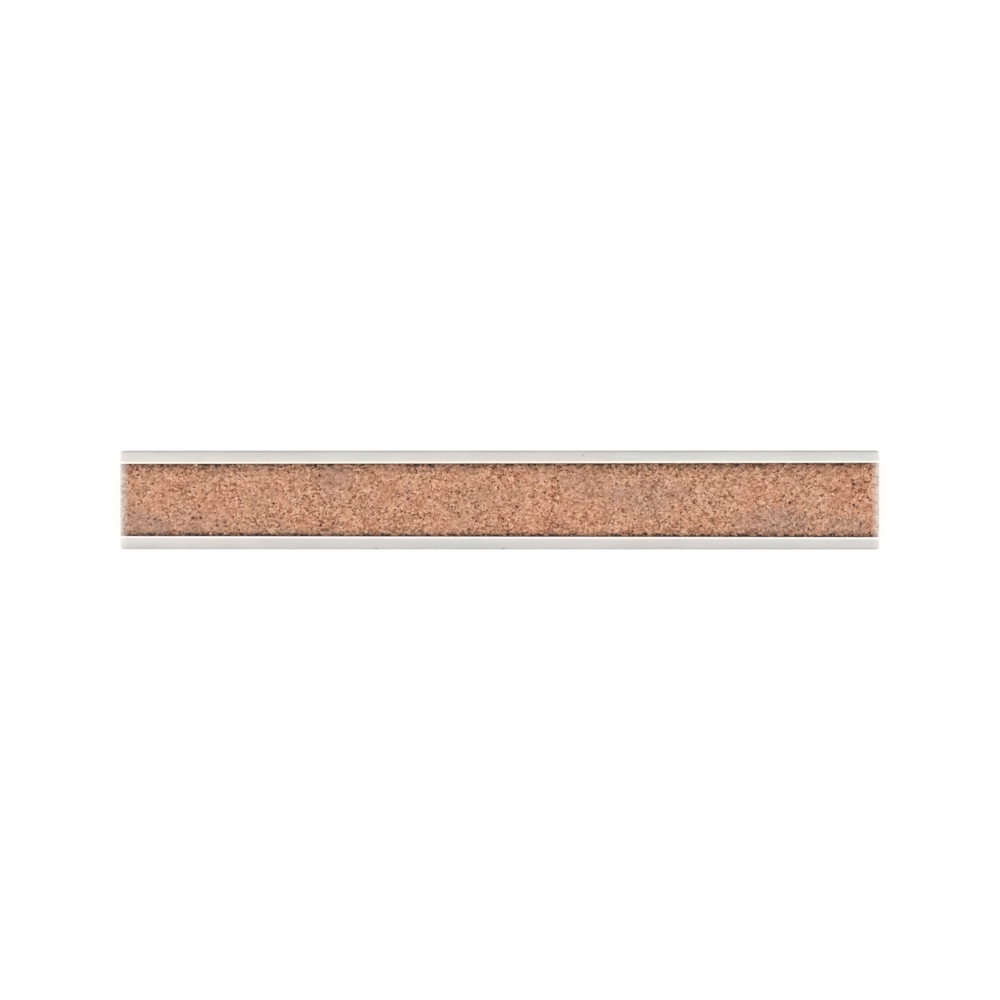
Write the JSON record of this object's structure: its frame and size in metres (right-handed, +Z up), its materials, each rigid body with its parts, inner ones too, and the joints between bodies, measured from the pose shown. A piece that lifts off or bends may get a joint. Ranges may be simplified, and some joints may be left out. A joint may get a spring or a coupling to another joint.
{
  "type": "cork-backed steel ruler",
  "caption": "Flat stainless steel ruler with a non-slip cork strip along its back and etched centimetre and inch scales on its face.",
  "frame": {"origin": "middle of the scale face, on the surface that the ruler lies on", "axes": "+X along the length, away from the zero end of both scales; +Y across the width, towards the centimetre edge; +Z up, out of the cork"},
  "size_m": [0.153, 0.02, 0.0024],
  "materials": {
    "satin_steel": "satin",
    "tape": "satin",
    "cork": "matte",
    "black_enamel": "satin"
  },
  "bodies": {
    "root": {"steel_blade": "satin_steel", "adhesive_tape": "tape", "cork_strip": "cork", "centimetre_marks": "black_enamel", "five_millimetre_marks": "black_enamel", "millimetre_marks": "black_enamel", "centimetre_numerals": "black_enamel", "inch_marks": "black_enamel", "half_inch_marks": "black_enamel", "quarter_inch_marks": "black_enamel", "eighth_inch_marks": "black_enamel", "sixteenth_inch_marks": "black_enamel", "inch_numerals": "black_enamel"}
  },
  "joints": []
}
